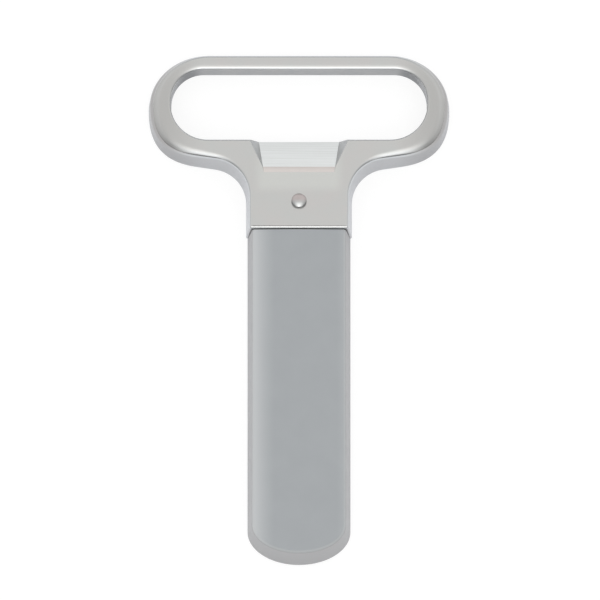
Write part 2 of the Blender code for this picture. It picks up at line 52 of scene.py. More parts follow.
COLLAR_END = HANDLE_LOW.y

# Small allowances: how far a cutter runs past, and how close places are that count as one or as near
OVERRUN = 0.003
MERGE = 0.000002
NEAR = 10 * MERGE

# A drafted foot is drawn wider by this share of what its rounding takes off, to end inside the frame
JUST_INSIDE = 0.99

# Handle, in metres up from the collar's end
HANDLE_REACH = HANDLE_HIGH.y - COLLAR_END
COLLAR_WIDTH = 0.0280
COLLAR_THICKNESS = 0.0130
COLLAR_CORNER = 0.0005
NECK_STRAIGHT = 0.00925
NECK_FILLET_RADIUS = 0.00965
SHOULDER_SLOPE = math.radians(8.5)
SHOULDER_STRAIGHT = 0.0050
LOOP_WIDTH = HANDLE_HIGH.x - HANDLE_LOW.x
LOOP_TOP_THICKNESS = 0.0072
TOP_CORNER_RUN = 0.0160
HOLE_LOW = 0.02484
HOLE_HIGH = 0.04472
HOLE_SIDE = 0.03395
HOLE_LOWER_RADIUS = 0.0100
HOLE_UPPER_RADIUS = 0.0087
HOLE_MARGIN = 0.0002
LOOP_MIDDLE = (HOLE_LOW + HOLE_HIGH) / 2
WALL_DRAFT = math.radians(4.5)
FRONT_SLOPE = math.atan((COLLAR_THICKNESS - LOOP_TOP_THICKNESS) / HANDLE_REACH)

# How far the pen's handles are pulled towards a sharp corner
CIRCLE_PULL = 0.5523
NECK_PULL = 0.5747
TOP_CORNER_SHARE = 0.56
LOWER_CORNER_SHARE = 0.69

# Rounding of the handle's rims, and how late it swells
FRONT_FILLET = 0.0008
BACK_FILLET = 0.0008
LOOP_REACH = 0.0040
LOOP_DEPTH = 0.0030
TOP_RIM_LATENESS = 1.6
HOLE_FILLET = 0.0006
HOLE_TOP_REACH = 0.0021
HOLE_TOP_DEPTH = 0.00065
HOLE_RIM_LATENESS = 3
SWELL_RANGE = 1.05
FOOT_SPREAD = JUST_INSIDE * BACK_FILLET * math.tan(WALL_DRAFT)

# Cap lifter
LIFTER_FOOT = 0.01716
LIFTER_DEPTH = 0.0032
LIFTER_BACK_DEPTH = 0.0040
LIFTER_FOOT_WIDTH = 0.0190
LIFTER_LIP_WIDTH = 0.0212
LIFTER_LEAN = math.radians(38.5)
CREASE_DEPTH = 0.00015
CREASE_LENGTH = 0.0015

# Socket in the neck, for the two tangs and the block between them
SOCKET_ROOM = 0.0003
TANG_THICKNESS = 0.0009
HOOK_ROOM = 0.0019

# Sheath
SHEATH_MOUTH = (SHEATH_HIGH.y - COLLAR_END) / 3
SHEATH_END = SHEATH_LOW.y - COLLAR_END
SHEATH_HALF = SHEATH_HIGH.x
SHEATH_TIP_LENGTH = 0.0087
SHEATH_NARROWING = 0.00015
SHEATH_FRONT = 0.0127
SHEATH_ROLL = 0.0010
SHEATH_ROLL_LATENESS = 4
SHEATH_THINNING = 0.0007
SHEATH_WALL = 0.0013
SHEATH_DRAFT = math.radians(6.8)
SHEATH_FILLET = 0.0008
SHEATH_SPREAD = JUST_INSIDE * SHEATH_FILLET * math.tan(SHEATH_DRAFT)
MOUTH_SOFTNESS = 0.00015

# Rivet, up from the table
RIVET_Y = (RIVET_LOW.y + RIVET_HIGH.y) / 2 - COLLAR_END
RIVET_HEAD = 0.00198
RIVET_DOME = 0.0008
RIVET_SHANK = 0.0015
RIVET_TAIL = 0.0022
RIVET_FACE = COLLAR_THICKNESS - math.tan(FRONT_SLOPE) * RIVET_Y
RIVET_SEAT = RIVET_FACE - 0.0005
TAIL_NECK = 0.0011
TAIL_END = 0.0003
RIVET_SNUG = 0.00003

# Edges of the parts from inside the neck
PRONG_SOFTNESS = 0.00015
BLOCK_SOFTNESS = 0.0003

# Steps along a curve, round a circle and round an edge
CURVE_STEPS = 20
CIRCLE_STEPS = 64
CROWN_STEPS = 32
FRONT_STEPS = 10
HOLE_STEPS = 8
CORNER_STEPS = 6
BACK_STEPS = 4
SOFT_STEPS = 2

# How edges and faces are told apart: by the turn of the surface, and by parts of a face's normal
SHARP_TURN = math.radians(60.0)
INNER_TURN = math.radians(50.0)
SMOOTH_TURN = math.radians(32.0)
FLAT_TURN = math.radians(0.5)
STRAIGHT_TURN = math.radians(0.1)
CORNER_HEIGHT = 0.005
LEVEL = 0.9
STEEP = 0.5
UPRIGHT = 0.3
RAMP_LEAN = 0.3
RAMP_LEVEL = 0.8
CREASE_LEAN = 0.02

# Tones of the plate: clouds, a lighter neck, rims tinted for their highlights, and painted shade on the
# loop's ends and the outer walls
COOL_CLOUD = (0.522, 0.528, 0.516)
WARM_CLOUD = (0.536, 0.525, 0.513)
NECK_TOP = (0.574, 0.578, 0.558)
RIM_HIGHLIGHT_TINT = (0.526, 0.537, 0.537)
END_FACE_SHADE = (0.44, 0.437, 0.425)
END_RIM_SHADE = (0.492, 0.492, 0.483)
STEEP_END = (0.35, 0.34, 0.33)
WALL_TONE = (0.415, 0.415, 0.413)
WALL_END = (0.235, 0.231, 0.227)
WALL_CORNER_TURN = math.radians(60.0)

# How the effects fade, and how much smoother a polished rim is
NOISE_MIDDLE = (0.3, 0.7)
FLAT_FADE = 0.08
WALL_FADE = 0.12
SHEEN_LATENESS = 1.5
CORNER_CORE = 0.2
RIM_POLISH = 0.08

# Camera, aimed a little way down the sheath, and what one of the photograph's pixels covers there
CAMERA_ELEVATION = math.radians(77.6)
CAMERA_DISTANCE = 1.5
CAMERA_TARGET = Vector((0.000263, COLLAR_END - 0.01782, 0.0064))
PHOTO_WIDTH = 600
PIXEL_SIZE = 0.00026295
SENSOR_WIDTH = 36.0

# Studio: levels overhead from the front horizon to the back one, and at the sides from the horizon up
SOFTBOX_DISTANCE = 0.9
SOFTBOX_TARGET = Vector((0.0, COLLAR_END + 0.01, 0.01))
PAPER_GREY = 0.86
SHADOW_SHARE = 0.2
PAPER_GLOW = 0.83
MIRRORED_PAPER = 0.8
MIRRORED_GLOW = (0.32, 0.335, 0.37)
BAND_START = 0.02
BAND_EDGE = 0.75
BAND_LEVELS = (
    (0.0, 0.12), (0.03, 0.18), (0.06, 0.50), (0.09, 1.60), (0.16, 2.05), (0.30, 2.05), (0.40, 1.80),
    (0.50, 1.17), (0.60, 1.05), (0.72, 1.03), (0.86, 1.10), (0.94, 0.95), (1.0, 0.60))
SIDE_LEVELS = ((0.0, 0.92), (0.26, 0.96), (0.5, 1.0), (0.7, 1.08), (0.87, 1.16), (1.0, 1.25))
SIDE_FRONT = 0.58
SIDE_BACK = 1.0
BLACK = (0.0, 0.0, 0.0)
WHITE = (1.0, 1.0, 1.0)


def pick_nothing():
    bpy.ops.object.select_all(action="DESELECT")


def pick_all():
    """Select all of the object being edited."""
    bpy.ops.mesh.select_all(action="SELECT")


def pick_alone(item):
    """Select one object and nothing else."""
    pick_nothing()
    item.select_set(True)
    bpy.context.view_layer.objects.active = item


def edit_alone(item):
    """Edit one object with nothing in it selected."""
    pick_alone(item)
    bpy.ops.object.mode_set(mode="EDIT")
    bpy.ops.mesh.select_all(action="DESELECT")


def leave_edit():
    bpy.ops.object.mode_set(mode="OBJECT")


def settle():
    """Put the place, turn and scale of what is selected into its mesh."""
    bpy.ops.object.transform_apply(location=True, rotation=True, scale=True)


def pick_faces(item, test):
    """Select the faces that pass a test, in the object being edited."""
    bpy.ops.mesh.select_mode(type="FACE")
    bm = bmesh.from_edit_mesh(item.data)
    for face in bm.faces:
        face.select_set(test(face))
    bm.select_flush_mode()
    bmesh.update_edit_mesh(item.data)


def pick_edges(item, test):
    """Select the edges that pass a test, in the object being edited."""
    bpy.ops.mesh.select_mode(type="EDGE")
    bm = bmesh.from_edit_mesh(item.data)
    bm.normal_update()
    for edge in bm.edges:
        edge.select_set(len(edge.link_faces) == 2 and test(edge))
    bm.select_flush_mode()
    bmesh.update_edit_mesh(item.data)


def picked_rim(item):
    """Places of the selected rim's vertices, each with the level way out of the wall below it."""
    bm = bmesh.from_edit_mesh(item.data)
    bm.normal_update()
    rim = []
    for vert in bm.verts:
        if vert.select:
            outward = Vector((0.0, 0.0, 0.0))
            for face in vert.link_faces:
                if abs(face.normal.z) < STEEP:
                    outward += face.normal
            outward.z = 0.0
            rim.append((vert.co.copy(), outward.normalized()))
    return rim


def middle(edge):
    return (edge.verts[0].co + edge.verts[1].co) / 2


def is_sharp(edge, least=SHARP_TURN):
    """Whether the surface turns through more than an angle at an edge."""
    return edge.calc_face_angle(0.0) > least


def is_collar_corner(edge):
    """Whether an edge is one of the two that stand up from the table at the collar's end."""
    return is_sharp(edge) and abs(edge.verts[0].co.z - edge.verts[1].co.z) > CORNER_HEIGHT


def is_rim(edge):
    """Whether an edge is a sharp one round the casting's front or back."""
    return is_sharp(edge) and max(abs(face.normal.z) for face in edge.link_faces) > LEVEL


def on_front(edge):
    """Whether an edge belongs to the casting's front rather than to its back."""
    return middle(edge).z > LOOP_TOP_THICKNESS / 2


def corner_knots(start, sharp, end, pull):
    """Two knots of a pen line that swing round a sharp point: each is its place and its two handles."""
    return [(start, start, start.lerp(sharp, pull)), (end, end.lerp(sharp, pull), end)]


def mirrored(knots):
    """The same pen line run backwards on the other side of the middle line."""
    flip = [[Vector((-spot.x, spot.y)) for spot in knot] for knot in reversed(knots)]
    return [(place, after, before) for place, before, after in flip]


def joined(knots):
    """Knots that fall on the same place become one, with a handle from each."""
    line = []
    for place, before, after in knots:
        if line and (line[-1][0] - place).length < MERGE:
            line[-1] = (place, line[-1][1], after)
        else:
            line.append((place, before, after))
    return line


def pen_outline(name, half):
    """A flat face from the right half of its outline, drawn with the pen."""
    knots = joined(half + mirrored(half))
    curve = bpy.data.curves.new(name, "CURVE")
    curve.dimensions = "2D"
    curve.fill_mode = "NONE"
    curve.resolution_u = CURVE_STEPS
    spline = curve.splines.new("BEZIER")
    spline.bezier_points.add(len(knots) - 1)
    for point, (place, before, after) in zip(spline.bezier_points, knots):
        point.handle_left_type = "FREE"
        point.handle_right_type = "FREE"
        point.co = (place.x, place.y, 0.0)
        point.handle_left = (before.x, before.y, 0.0)
        point.handle_right = (after.x, after.y, 0.0)
    spline.use_cyclic_u = True
    item = bpy.data.objects.new(name, curve)
    bpy.context.scene.collection.objects.link(item)
    pick_alone(item)
    bpy.ops.object.convert(target="MESH")
    fill_outline(item)
    return item


def fill_outline(item):
    """Turn a closed ring of edges into one face that looks up."""
    edit_alone(item)
    pick_all()
    bpy.ops.mesh.remove_doubles(threshold=MERGE)
    bpy.ops.mesh.edge_face_add()
    bpy.ops.mesh.dissolve_limited(angle_limit=STRAIGHT_TURN)
    bm = bmesh.from_edit_mesh(item.data)
    bm.faces.ensure_lookup_table()
    bm.normal_update()
    if bm.faces[0].normal.z < 0:
        bpy.ops.mesh.flip_normals()
    leave_edit()


def extrude_up(rise):
    """Extrude what is selected straight up, or down where the rise is below nought."""
    bpy.ops.mesh.extrude_region_move(TRANSFORM_OT_translate={"value": (0.0, 0.0, rise)})


def face_outwards():
    """Turn all faces of the object being edited outwards."""
    pick_all()
    bpy.ops.mesh.normals_make_consistent(inside=False)


def raise_slab(item, low, high, draft):
    """Raise a flat outline into a slab whose walls lean in by the draft."""
    edit_alone(item)
    pick_all()
    bpy.ops.transform.translate(value=(0.0, 0.0, low))
    rise = high - low
    if draft:
        bpy.ops.mesh.inset(thickness=rise * math.tan(draft), depth=rise, use_even_offset=True)
    else:
        extrude_up(rise)
    bpy.ops.mesh.select_all(action="DESELECT")
    bpy.ops.mesh.select_mode(type="EDGE")
    bpy.ops.mesh.select_non_manifold()
    bpy.ops.mesh.edge_face_add()
    face_outwards()
    leave_edit()


def slice_off(item, place, away):
    """Cut a piece flat through a place and close it, dropping what lies on the away side."""
    edit_alone(item)
    pick_all()
    bpy.ops.mesh.bisect(plane_co=place, plane_no=away, use_fill=True, clear_outer=True, threshold=MERGE)
    leave_edit()


def cut_away(item, cutter):
    """Take a cutter out of a piece and throw the cutter away."""
    pick_alone(item)
    modifier = item.modifiers.new("cut", "BOOLEAN")
    modifier.solver = "EXACT"
    modifier.operation = "DIFFERENCE"
    modifier.object = cutter
    bpy.ops.object.modifier_apply(modifier=modifier.name)
    bpy.data.objects.remove(cutter)


def bevel_picked(width, steps):
    """Round the selected edges."""
    bpy.ops.mesh.bevel(
        offset=width, offset_type="OFFSET", segments=steps, profile=0.5, clamp_overlap=False,
        loop_slide=True, affect="EDGES")


def swell_rounding(item, rim, width, draft, size_at):
    """Stretch a rounding to a reach and a depth of its own at each place, since a bevel has one width."""
    tree = KDTree(len(rim))
    for index, spot in enumerate(rim):
        tree.insert(spot[0], index)
    tree.balance()
    lean = math.tan(draft)
    edit_alone(item)
    bm = bmesh.from_edit_mesh(item.data)
    for vert in bm.verts:
        corner, index, distance = tree.find(vert.co)
        if distance < SWELL_RANGE * width:
            outward = rim[index][1]
            fall = math.tan(FRONT_SLOPE) * outward.y
            offset = vert.co - corner
            out = offset.dot(outward)
            inward = -(out + lean * offset.z) / (1 - lean * fall)
            down = inward * fall - offset.z
            reach, depth = size_at(corner)
            more_inward = inward * (reach / width - 1)
            more_down = down * (depth / width - 1)
            vert.co += outward * (lean * more_down - more_inward)
            vert.co.z += fall * more_inward - more_down
    bmesh.update_edit_mesh(item.data)
    leave_edit()


def finish_piece(item, name, body, material=None):
    """Shade a finished piece, put it at the collar and let it ride on its body."""
    pick_alone(item)
    bpy.ops.object.shade_smooth_by_angle(angle=SMOOTH_TURN)
    weighting = item.modifiers.new("flat_faces_first", "WEIGHTED_NORMAL")
    weighting.mode = "FACE_AREA"
    weighting.weight = 100
    weighting.keep_sharp = True
    bpy.ops.object.modifier_apply(modifier=weighting.name)
    item.location.y = COLLAR_END
    settle()
    item.name = name
    item.data.name = name
    if material:
        item.data.materials.clear()
        item.data.materials.append(material)
    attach(item, body)


def loop_outline():
    """Right half of the handle's outline at the table: top bar, loop end, shoulder, neck and collar."""
    half = LOOP_WIDTH / 2 + FOOT_SPREAD
    reach = HANDLE_REACH + FOOT_SPREAD
    neck = COLLAR_WIDTH / 2 + FOOT_SPREAD
    tangent = NECK_FILLET_RADIUS * math.tan((math.pi / 2 - SHOULDER_SLOPE) / 2)
    neck_sharp = Vector((neck, NECK_STRAIGHT + tangent))
    along = Vector((math.cos(SHOULDER_SLOPE), math.sin(SHOULDER_SLOPE)))
    foot = neck_sharp + along * tangent
    shoulder_end = foot + along * (SHOULDER_STRAIGHT / along.x)
    lower_sharp = foot + along * ((half - foot.x) / along.x)
    side = Vector((half, LOOP_MIDDLE))
    bar_end = Vector((half - TOP_CORNER_RUN, reach))
    collar_corner = Vector((neck, -OVERRUN))
    knots = corner_knots(bar_end, Vector((half, reach)), side, TOP_CORNER_SHARE)
    knots += corner_knots(side, lower_sharp, shoulder_end, LOWER_CORNER_SHARE)
    knots += corner_knots(foot, neck_sharp, Vector((neck, NECK_STRAIGHT)), NECK_PULL)
    knots.append((collar_corner, collar_corner, collar_corner))
    return knots


def hole_outline():
    """Right half of the finger hole, whose upper and lower corners have their own radii."""
    knots = []
    for radius, sharp, first, last in (
            (HOLE_UPPER_RADIUS, Vector((HOLE_SIDE, HOLE_HIGH)), Vector((-1, 0)), Vector((0, -1))),
            (HOLE_LOWER_RADIUS, Vector((HOLE_SIDE, HOLE_LOW)), Vector((0, 1)), Vector((-1, 0)))):
        knots += corner_knots(sharp + first * radius, sharp, sharp + last * radius, CIRCLE_PULL)
    return knots


def share_between(value, start, full):
    """How far a value has come on its way, from nought at the start to one when full."""
    return min(max((value - start) / (full - start), 0.0), 1.0)


def grown(small, large, share):
    """A size that has grown by a share from small to large."""
    return small + (large - small) * share


def wedge(name, foot_depth, lip_depth, foot, front):
    """A cutter for the cap lifter: its floor deepens towards the hole and its sides lean out."""
    pick_nothing()
    bpy.ops.mesh.primitive_cube_add(size=2.0, location=(0.0, 0.0, 0.0))
    item = bpy.context.object
    item.name = name
    lip = HOLE_LOW
    slope = math.tan(FRONT_SLOPE) if front else 0.0
    face_at = COLLAR_THICKNESS if front else 0.0
    out = 1.0 if front else -1.0
    widen = (LIFTER_LIP_WIDTH - LIFTER_FOOT_WIDTH) / 2 / (lip - LIFTER_FOOT)
    far = lip + OVERRUN
    for vert in item.data.vertices:
        y = far if vert.co.y > 0 else foot
        run = (y - foot) / (lip - foot)
        depth = grown(foot_depth, lip_depth, run)
        half = LIFTER_FOOT_WIDTH / 2 + widen * (y - LIFTER_FOOT)
        surface = face_at - slope * y
        if vert.co.z * out > 0:
            half += (depth + OVERRUN) * math.tan(LIFTER_LEAN)
            z = surface + out * OVERRUN
        else:
            z = surface - out * depth
        vert.co = (math.copysign(half, vert.co.x), y, z)
    return item


def box_cutter(name, low, high):
    """A plain block to cut with."""
    pick_nothing()
    size = [high[i] - low[i] for i in range(3)]
    place = [(high[i] + low[i]) / 2 for i in range(3)]
    bpy.ops.mesh.primitive_cube_add(size=1.0, location=place, scale=size)
    settle()
    item = bpy.context.object
    item.name = name
    return item


def round_cutter(name, low_radius, high_radius, low, high):
    """A round or flared plug to cut with, standing on the rivet's axis."""
    pick_nothing()
    bpy.ops.mesh.primitive_cone_add(
        vertices=CIRCLE_STEPS, radius1=low_radius, radius2=high_radius, depth=high - low,
        location=(0.0, RIVET_Y, (low + high) / 2))
    settle()
    item = bpy.context.object
    item.name = name
    return item


def in_hole(place):
    """Whether a place lies round the finger hole rather than on the outer rim."""
    wide = abs(place.x) < HOLE_SIDE + HOLE_MARGIN
    return wide and HOLE_LOW - HOLE_MARGIN < place.y < HOLE_HIGH + HOLE_MARGIN


def rim_rounding(place):
    """Reach and depth of the outer rim's rounding: crisp on neck and top bar, full at the loop's ends."""
    half = LOOP_WIDTH / 2
    if place.y < LOOP_MIDDLE:
        run = share_between(abs(place.x), COLLAR_WIDTH / 2, half)
    else:
        run = share_between(abs(place.x), half - TOP_CORNER_RUN, half) ** TOP_RIM_LATENESS
    return grown(FRONT_FILLET, LOOP_REACH, run), grown(FRONT_FILLET, LOOP_DEPTH, run)


def hole_rounding(place):
    """Reach and depth of the hole's front rounding, which is fullest along the top bar."""
    run = share_between(place.y, HOLE_LOW, HOLE_HIGH) ** HOLE_RIM_LATENESS
    return grown(HOLE_FILLET, HOLE_TOP_REACH, run), grown(HOLE_FILLET, HOLE_TOP_DEPTH, run)


def by_lifter(place):
    """Whether a place lies on the lifter's ramp, beside it or in the crease at its foot."""
    along = LIFTER_FOOT - CREASE_LENGTH - MERGE < place.y < HOLE_LOW + MERGE
    return along and abs(place.x) < COLLAR_WIDTH / 2 and place.z > LOOP_TOP_THICKNESS / 2


def on_ramp(face):
    """Whether a face is the lifter's ramp, which leans towards the finger hole."""
    leans = face.normal.y > RAMP_LEAN and face.normal.z > RAMP_LEVEL
    return leans and by_lifter(face.calc_center_median())


def on_crease(face):
    """Whether a face is the shallow crease at the ramp's foot."""
    spot = face.calc_center_median()
    leans = face.normal.y - math.sin(FRONT_SLOPE) > CREASE_LEAN and face.normal.z > LEVEL
    return leans and by_lifter(spot) and spot.y < LIFTER_FOOT + MERGE


def on_hole_or_ramp_wall(face):
    """Whether a face is the finger hole's wall or one of the two walls beside the ramp."""
    spot = face.calc_center_median()
    beside_ramp = by_lifter(spot) and abs(face.normal.x) > STEEP
    return in_hole(spot) and abs(face.normal.z) < UPRIGHT or beside_ramp


def handle_blank():
    """One drafted slab, sliced to the slope of its front and square at its rounded collar."""
    item = pen_outline("handle_blank", loop_outline())
    raise_slab(item, 0.0, COLLAR_THICKNESS + OVERRUN, WALL_DRAFT)
    slice_off(item, (0.0, 0.0, COLLAR_THICKNESS), (0.0, math.sin(FRONT_SLOPE), math.cos(FRONT_SLOPE)))
    slice_off(item, (0.0, 0.0, 0.0), (0.0, -1.0, 0.0))
    edit_alone(item)
    pick_edges(item, is_collar_corner)
    bevel_picked(COLLAR_CORNER, CORNER_STEPS)
    leave_edit()
    return item


def round_rims(item, size_at, width, steps, draft, inner):
    """Round the hole's rims or the outer ones: swelling from place to place in front, even on the back."""
    edit_alone(item)
    pick_edges(item, lambda edge: is_rim(edge) and on_front(edge) and in_hole(middle(edge)) == inner)
    rim = picked_rim(item)
    bevel_picked(width, steps)
    leave_edit()
    swell_rounding(item, rim, width, draft, size_at)
    edit_alone(item)
    pick_edges(item, lambda edge: is_rim(edge) and not on_front(edge) and in_hole(middle(edge)) == inner)
    bevel_picked(BACK_FILLET, BACK_STEPS)
    leave_edit()


def cut_hole(item):
    """Cut the finger hole straight through the loop."""
    hole = pen_outline("hole", hole_outline())
    raise_slab(hole, -OVERRUN, COLLAR_THICKNESS + OVERRUN, draft=0.0)
    cut_away(item, hole)


def cut_lifter(item):
    """Cut the cap lifter: the ramp, the shallow crease at its foot and the relief behind its lip."""
    crease_foot = LIFTER_FOOT - CREASE_LENGTH
    crease_depth = CREASE_DEPTH * (HOLE_LOW - LIFTER_FOOT + CREASE_LENGTH) / CREASE_LENGTH
    cut_away(item, wedge("ramp", CREASE_DEPTH, LIFTER_DEPTH, LIFTER_FOOT, front=True))
    cut_away(item, wedge("crease", 0.0, crease_depth, crease_foot, front=True))
    cut_away(item, wedge("back_relief", 0.0, LIFTER_BACK_DEPTH, LIFTER_FOOT, front=False))


def cut_socket(item):
    """Open the collar's end for the two hooked tangs and the block between them."""
    half = BLOCK_HIGH.x + 2 * SOCKET_ROOM + TANG_THICKNESS
    top = BLOCK_HIGH.y - COLLAR_END + HOOK_ROOM
    low = (-half, -OVERRUN, BLOCK_LOW.z - SOCKET_ROOM)
    high = (half, top, BLOCK_HIGH.z + SOCKET_ROOM)
    cut_away(item, box_cutter("socket", low, high))


def cut_rivet_hole(item):
    """Bore the neck for the rivet, with a seat for its head and a countersink for its tail."""
    bore = RIVET_SHANK + RIVET_SNUG
    head = RIVET_HEAD + RIVET_SNUG
    flare = (RIVET_TAIL - RIVET_SHANK) / (TAIL_NECK - TAIL_END)
    spread = RIVET_TAIL + RIVET_SNUG + flare * (TAIL_END + OVERRUN)
    cut_away(item, round_cutter("bore", bore, bore, -OVERRUN, COLLAR_THICKNESS + OVERRUN))
    cut_away(item, round_cutter("head_seat", head, head, RIVET_SEAT - RIVET_SNUG, RIVET_FACE + OVERRUN))
    cut_away(item, round_cutter("countersink", spread, bore, -OVERRUN, TAIL_NECK + RIVET_SNUG))


def share_finishes(item, finishes):
    """Plate the casting all over, then give its ramp, crease, and the walls in its hole and beside the
    ramp the finishes that follow.
    """
    item.data.materials.clear()
    for finish in finishes:
        item.data.materials.append(finish)
    edit_alone(item)
    for finish_place, test in enumerate((on_ramp, on_crease, on_hole_or_ramp_wall), start=1):
        pick_faces(item, test)
        item.active_material_index = finish_place
        bpy.ops.object.material_slot_assign()
    leave_edit()


def make_handle(finishes):
    """The cast handle, cut from one drafted slab and rounded edge by edge."""
    item = handle_blank()
    round_rims(item, rim_rounding, FRONT_FILLET, FRONT_STEPS, draft=WALL_DRAFT, inner=False)
    cut_hole(item)
    round_rims(item, hole_rounding, HOLE_FILLET, HOLE_STEPS, draft=0.0, inner=True)
    cut_lifter(item)
    cut_socket(item)
    cut_rivet_hole(item)
    share_finishes(item, finishes)
    finish_piece(item, "handle_casting", "handle")
    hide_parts("handle")


def sheath_outline(shrink, mouth):
    """Right half of the sheath's outline, a little narrower towards its rounded end."""
    across = SHEATH_HALF - SHEATH_NARROWING - shrink
    end = SHEATH_END - SHEATH_SPREAD + shrink
    tip_start = Vector((across, SHEATH_END + SHEATH_TIP_LENGTH))
    mouth_corner = Vector((SHEATH_HALF - shrink, mouth))
    knots = [(mouth_corner, mouth_corner, mouth_corner)]
    knots += corner_knots(tip_start, Vector((across, end)), Vector((0.0, end)), CIRCLE_PULL)
    return knots


def crown_cutter(name, shrink):
    """A block whose hollow underside leaves the sheath's front crowned across and thinner at its end."""
    pick_nothing()
    width = 2 * SHEATH_HALF + 2 * OVERRUN
    length = SHEATH_MOUTH - SHEATH_END + 4 * OVERRUN
    bpy.ops.mesh.primitive_grid_add(
        x_subdivisions=CROWN_STEPS, y_subdivisions=1, size=1.0, scale=(width, length, 1.0),
        location=(0.0, (SHEATH_MOUTH + SHEATH_END) / 2, 0.0))
    settle()
    item = bpy.context.object
    item.name = name
    for vert in item.data.vertices:
        along = vert.co.y / SHEATH_END
        roll = SHEATH_ROLL * min(abs(vert.co.x) / SHEATH_HALF, 1.0) ** SHEATH_ROLL_LATENESS
        vert.co.z = SHEATH_FRONT - SHEATH_THINNING * along - roll - shrink
    edit_alone(item)
    pick_all()
    extrude_up(2 * OVERRUN)
    face_outwards()
    leave_edit()
    return item


def sheath_solid(name, shrink, mouth, fillet):
    """The sheath's outside, or with a shrink the space inside it, with its open end left sharp."""
    item = pen_outline(name, sheath_outline(shrink, mouth))
    raise_slab(item, SHEATH_LOW.z + shrink, SHEATH_FRONT + OVERRUN, SHEATH_DRAFT)
    cut_away(item, crown_cutter("crown", shrink))
    open_end = mouth - OVERRUN
    slice_off(item, (0.0, open_end, 0.0), (0.0, 1.0, 0.0))
    edit_alone(item)
    pick_edges(item, lambda edge: is_sharp(edge) and middle(edge).y < open_end - NEAR)
    bevel_picked(fillet, CORNER_STEPS)
    leave_edit()
    return item


def make_sheath(material):
    """Moulded cover: a crowned, drafted bar with a rounded end, hollowed from its mouth."""
    item = sheath_solid("sheath_blank", 0.0, SHEATH_MOUTH + OVERRUN, SHEATH_FILLET)
    cut_away(item, sheath_solid("sheath_core", SHEATH_WALL, SHEATH_MOUTH + 2 * OVERRUN, SHEATH_FILLET / 2))
    edit_alone(item)
    pick_edges(item, lambda edge: is_sharp(edge) and middle(edge).y > SHEATH_MOUTH - NEAR)
    bevel_picked(MOUTH_SOFTNESS, SOFT_STEPS)
    leave_edit()
    finish_piece(item, "sheath_cover", "sheath", material)
    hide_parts("sheath")


def make_rivet(material):
    """Domed rivet: head, shank and a tail spread flush in the handle's back."""
    rim = RIVET_HIGH.z - RIVET_DOME
    spread = RIVET_TAIL / RIVET_SHANK
    pick_nothing()
    bpy.ops.mesh.primitive_uv_sphere_add(
        segments=CIRCLE_STEPS, ring_count=CIRCLE_STEPS, radius=RIVET_HEAD, location=(0.0, RIVET_Y, rim))
    item = bpy.context.object
    item.scale.z = RIVET_DOME / RIVET_HEAD
    settle()
    slice_off(item, (0.0, 0.0, rim), (0.0, 0.0, -1.0))
    edit_alone(item)
    pick_faces(item, lambda face: face.normal.z < -LEVEL and len(face.verts) > 4)
    extrude_up(RIVET_SEAT - rim)
    bpy.ops.mesh.inset(thickness=RIVET_HEAD - RIVET_SHANK)
    extrude_up(TAIL_NECK - RIVET_SEAT)
    extrude_up(TAIL_END - TAIL_NECK)
    bpy.ops.transform.resize(value=(spread, spread, 1.0))
    leave_edit()
    finish_piece(item, "domed_rivet", "handle", material)
    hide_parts("rivet")


def make_inner_part(node, name, material, body, softness):
    """A plain part from inside the neck: the frame's own shape with its faces joined and edges soft."""
    item = bpy.data.objects.new(name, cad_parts[node].data.copy())
    bpy.context.scene.collection.objects.link(item)
    edit_alone(item)
    pick_all()
    bpy.ops.mesh.remove_doubles(threshold=MERGE)
    bpy.ops.mesh.dissolve_limited(angle_limit=FLAT_TURN)
    pick_edges(item, lambda edge: is_sharp(edge, INNER_TURN))
    bevel_picked(softness, SOFT_STEPS)
    leave_edit()
    item.location.y = -COLLAR_END
    settle()
    finish_piece(item, name, body, material)
    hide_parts(node)


def new_material(name, colour, rough, metal):
    """A material with its all-over numbers set on its own shader."""
    material = bpy.data.materials.new(name)
    material.use_nodes = True
    shader = material.node_tree.nodes["Principled BSDF"]
    shader.inputs["Base Color"].default_value = (*colour, 1.0)
    shader.inputs["Roughness"].default_value = rough
    shader.inputs["Metallic"].default_value = metal
    return material, material.node_tree, shader


def new_effect(name, numbers, outputs):
    """An empty effect group with numbers to set and values to give out."""
    tree = bpy.data.node_groups.new(name, "ShaderNodeTree")
    for label, value in numbers.items():
        socket = tree.interface.new_socket(label, in_out="INPUT", socket_type="NodeSocketFloat")
        socket.default_value = value
    for label in outputs:
        tree.interface.new_socket(label, in_out="OUTPUT", socket_type="NodeSocketFloat")
    return tree, tree.nodes.new("NodeGroupInput").outputs, tree.nodes.new("NodeGroupOutput").inputs


def place_effect(tree, effect, **numbers):
    """Place an effect group in a material with that material's own numbers."""
    node = tree.nodes.new("ShaderNodeGroup")
    node.node_tree = effect
    for label, value in numbers.items():
        node.inputs[label.replace("_", " ").capitalize()].default_value = value
    return node.outputs


def calculate(tree, operation, *values):
    """A Math node on sockets or plain numbers."""
    node = tree.nodes.new("ShaderNodeMath")
    node.operation = operation
    for socket, value in zip(node.inputs, values):
        if isinstance(value, (int, float)):
            socket.default_value = value
        else:
            tree.links.new(value, socket)
    return node.outputs["Value"]


def flipped(tree, share):
    """One less a share."""
    return calculate(tree, "SUBTRACT", 1.0, share)


def remap(tree, value, low, high, to_low, to_high, smooth=False):
    """Stretch a value from one range to another, and stop at the ends."""
    node = tree.nodes.new("ShaderNodeMapRange")
    node.interpolation_type = "SMOOTHSTEP" if smooth else "LINEAR"
    tree.links.new(value, node.inputs["Value"])
    for label, number in (("From Min", low), ("From Max", high), ("To Min", to_low), ("To Max", to_high)):
        node.inputs[label].default_value = number
    return node.outputs["Result"]


